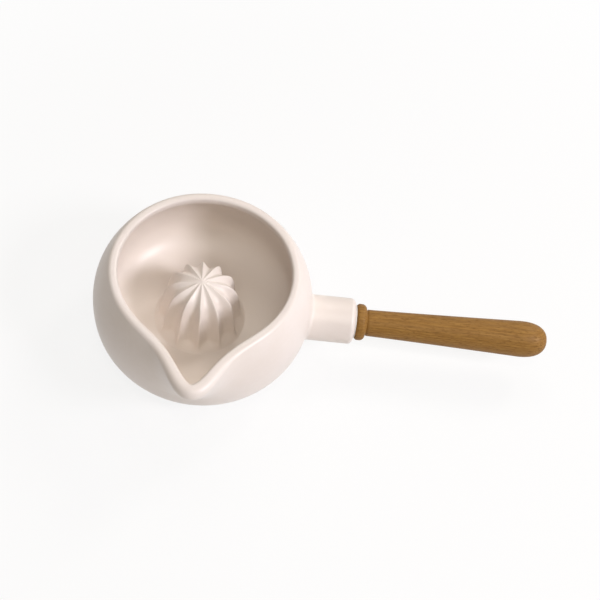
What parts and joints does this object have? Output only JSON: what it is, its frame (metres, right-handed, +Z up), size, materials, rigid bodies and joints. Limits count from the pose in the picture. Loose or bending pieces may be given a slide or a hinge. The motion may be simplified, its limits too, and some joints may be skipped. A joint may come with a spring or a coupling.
{
  "type": "side-handled citrus juicer",
  "caption": "Glazed ceramic squeezing bowl with a ribbed reamer on its floor, a pulled pouring spout and a turned wooden side handle that screws into a ceramic socket.",
  "frame": {"origin": "centre of the foot ring on the plane that it stands on", "axes": "+Z up; +X from the bowl out along the handle; the pouring spout points to -Y"},
  "size_m": [0.2283, 0.1234, 0.055],
  "materials": {
    "glaze": "glossy cream-white glaze",
    "cement": "matt pale cement",
    "brass": "turned",
    "washer": "soft, satin",
    "steel": "zinc plated",
    "wood": "oiled, satin"
  },
  "bodies": {
    "bowl_body": {"bowl": "glaze", "reamer": "glaze", "handle_socket": "glaze", "insert_cement": "cement", "socket_insert": "brass"},
    "washer": {"sealing_washer": "washer"},
    "grip": {"handle": "wood", "handle_stud": "steel"}
  },
  "joints": [
    {"name": "washer_slide", "type": "slide", "parent": "bowl_body", "child": "washer", "axis": [1, 0, 0], "range_m": [0, 0.012]},
    {"name": "handle_turn", "type": "hinge", "parent": "washer", "child": "grip", "pos_m": [0.0768, 0, 0.0227], "axis": [1, 0, 0], "range_deg": [0, 4320]}
  ],
  "couplings": [
    {"joint": "washer_slide", "follows": "handle_turn", "m_per_rad": 0.00015915}
  ]
}
